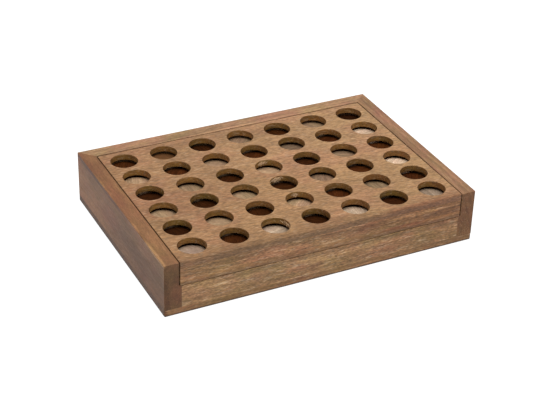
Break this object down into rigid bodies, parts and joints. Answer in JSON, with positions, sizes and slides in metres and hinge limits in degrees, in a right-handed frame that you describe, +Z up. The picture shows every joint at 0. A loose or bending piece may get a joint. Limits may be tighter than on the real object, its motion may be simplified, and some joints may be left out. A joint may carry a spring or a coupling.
{
  "type": "four-in-a-row game",
  "caption": "Flat wooden tray carrying a lift-out playing rack, whose round sight holes show light and dark discs in channels between two panels.",
  "frame": {"origin": "middle of the tray's underside, with the game lying flat", "axes": "+Z up, out of the rack's face; +X along the long side, to the right seen from the low front; +Y from the low front to the back rail"},
  "size_m": [0.3, 0.2064, 0.051],
  "materials": {
    "tray_wood": "sanded and thinly oiled, open grain",
    "rack_wood": "sanded and thinly oiled, fine grain along the long side",
    "light_disc": "pale bare wood",
    "dark_disc": "dark stained wood"
  },
  "bodies": {
    "tray": {"base_panel": "tray_wood", "left_side_rail": "tray_wood", "right_side_rail": "tray_wood", "back_rail": "tray_wood", "back_ledge": "tray_wood", "front_rail": "tray_wood"},
    "rack": {"rack_front_panel": "rack_wood", "rack_back_panel": "rack_wood", "bottom_strip": "rack_wood", "left_end_strip": "rack_wood", "right_end_strip": "rack_wood", "divider_1": "rack_wood", "divider_2": "rack_wood", "divider_3": "rack_wood", "divider_4": "rack_wood", "divider_5": "rack_wood", "divider_6": "rack_wood"},
    "column_1_discs": {"disc_col1_row1": "light_disc", "disc_col1_row2": "dark_disc", "disc_col1_row3": "light_disc", "disc_col1_row4": "dark_disc", "disc_col1_row5": "light_disc", "disc_col1_row6": "dark_disc"},
    "column_2_discs": {"disc_col2_row1": "dark_disc", "disc_col2_row2": "light_disc", "disc_col2_row3": "dark_disc", "disc_col2_row4": "light_disc", "disc_col2_row5": "dark_disc", "disc_col2_row6": "light_disc"},
    "column_3_discs": {"disc_col3_row1": "light_disc", "disc_col3_row2": "dark_disc", "disc_col3_row3": "light_disc", "disc_col3_row4": "dark_disc", "disc_col3_row5": "light_disc", "disc_col3_row6": "dark_disc"},
    "column_4_discs": {"disc_col4_row1": "dark_disc", "disc_col4_row2": "light_disc", "disc_col4_row3": "dark_disc", "disc_col4_row4": "light_disc", "disc_col4_row5": "dark_disc", "disc_col4_row6": "light_disc"},
    "column_5_discs": {"disc_col5_row1": "light_disc", "disc_col5_row2": "dark_disc", "disc_col5_row3": "light_disc", "disc_col5_row4": "dark_disc", "disc_col5_row5": "light_disc", "disc_col5_row6": "dark_disc"},
    "column_6_discs": {"disc_col6_row1": "dark_disc", "disc_col6_row2": "light_disc", "disc_col6_row3": "dark_disc", "disc_col6_row4": "light_disc", "disc_col6_row5": "dark_disc", "disc_col6_row6": "light_disc"},
    "column_7_discs": {"disc_col7_row1": "light_disc", "disc_col7_row2": "dark_disc", "disc_col7_row3": "light_disc", "disc_col7_row4": "dark_disc", "disc_col7_row5": "light_disc", "disc_col7_row6": "dark_disc"}
  },
  "joints": [
    {"name": "rack_lift", "type": "slide", "parent": "tray", "child": "rack", "axis": [0, 0, 1], "range_m": [0, 0.08]},
    {"name": "column_1_slide", "type": "slide", "parent": "rack", "child": "column_1_discs", "axis": [0, 1, 0], "range_m": [0, 0.0027]},
    {"name": "column_2_slide", "type": "slide", "parent": "rack", "child": "column_2_discs", "axis": [0, 1, 0], "range_m": [0, 0.0027]},
    {"name": "column_3_slide", "type": "slide", "parent": "rack", "child": "column_3_discs", "axis": [0, 1, 0], "range_m": [0, 0.0027]},
    {"name": "column_4_slide", "type": "slide", "parent": "rack", "child": "column_4_discs", "axis": [0, 1, 0], "range_m": [0, 0.0027]},
    {"name": "column_5_slide", "type": "slide", "parent": "rack", "child": "column_5_discs", "axis": [0, 1, 0], "range_m": [0, 0.0027]},
    {"name": "column_6_slide", "type": "slide", "parent": "rack", "child": "column_6_discs", "axis": [0, 1, 0], "range_m": [0, 0.0027]},
    {"name": "column_7_slide", "type": "slide", "parent": "rack", "child": "column_7_discs", "axis": [0, 1, 0], "range_m": [0, 0.0027]}
  ]
}
